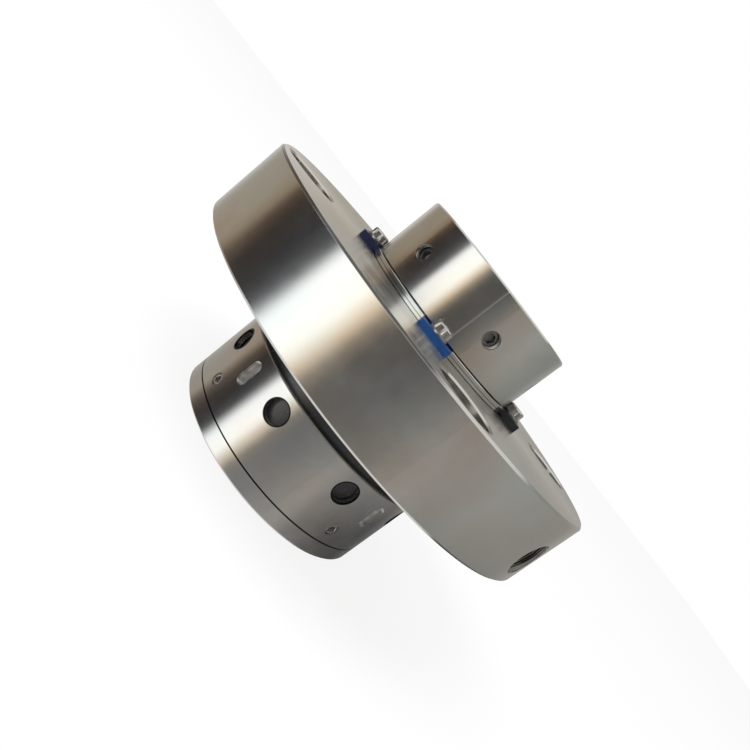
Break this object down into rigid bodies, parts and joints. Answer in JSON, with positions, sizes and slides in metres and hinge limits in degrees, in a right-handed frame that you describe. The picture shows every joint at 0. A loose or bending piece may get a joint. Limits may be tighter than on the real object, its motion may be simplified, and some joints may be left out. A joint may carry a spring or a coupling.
{
  "type": "cartridge mechanical seal",
  "caption": "Cartridge mechanical seal with a thick bolted gland, a rotary head with windows and drive keys, a drive collar and setting clips.",
  "frame": {"origin": "centre of the inboard end face of the rotary head, on which the seal stands", "axes": "+Z along the shaft towards the drive collar; two bolt holes of the gland lie on the X axis"},
  "size_m": [0.21, 0.21, 0.1335],
  "materials": {
    "sleeve_steel": "fine turned",
    "head_steel": "fine turned, lightly smeared",
    "gland_steel": "fine turned",
    "collar_steel": "fine turned",
    "ring_steel": "turned",
    "key_steel": "bright milled",
    "pin_steel": "ground",
    "screw_steel": "bright",
    "set_screw_steel": "dark",
    "washer_steel": "plain",
    "spring_steel": "drawn",
    "face_ceramic": "lapped and ground, dark",
    "bushing_carbon": "fine turned",
    "black_rubber": "moulded",
    "clip_plastic": "satin"
  },
  "bodies": {
    "gland_unit": {"gland_plate": "gland_steel", "mating_ring": "face_ceramic", "mating_oring": "black_rubber", "anti_rotation_pins": "pin_steel", "gland_oring": "black_rubber", "throttle_bushing": "bushing_carbon", "bushing_circlip": "spring_steel", "setting_clip_1": "clip_plastic", "setting_clip_2": "clip_plastic", "setting_clip_3": "clip_plastic", "setting_clip_4": "clip_plastic", "clip_screws": "screw_steel", "clip_washers": "washer_steel"},
    "rotor": {"shaft_sleeve": "sleeve_steel", "shaft_oring": "black_rubber", "spring_retainer": "head_steel", "head_shell": "head_steel", "head_set_screws": "screw_steel", "drive_keys": "key_steel", "coil_springs": "spring_steel", "drive_collar": "collar_steel", "collar_set_screws": "set_screw_steel"},
    "face_unit": {"thrust_ring": "ring_steel", "rotary_face_ring": "face_ceramic", "face_oring": "black_rubber"}
  },
  "joints": [
    {"name": "rotor_spin", "type": "hinge", "parent": "gland_unit", "child": "rotor", "pos_m": [0, 0, 0], "axis": [0, 0, 1], "continuous": true},
    {"name": "face_float", "type": "slide", "parent": "rotor", "child": "face_unit", "axis": [0, 0, 1], "range_m": [-0.002, 0], "stiffness_N_per_m": 15000, "springref_m": 0.006, "deforming": ["coil_springs"]}
  ]
}
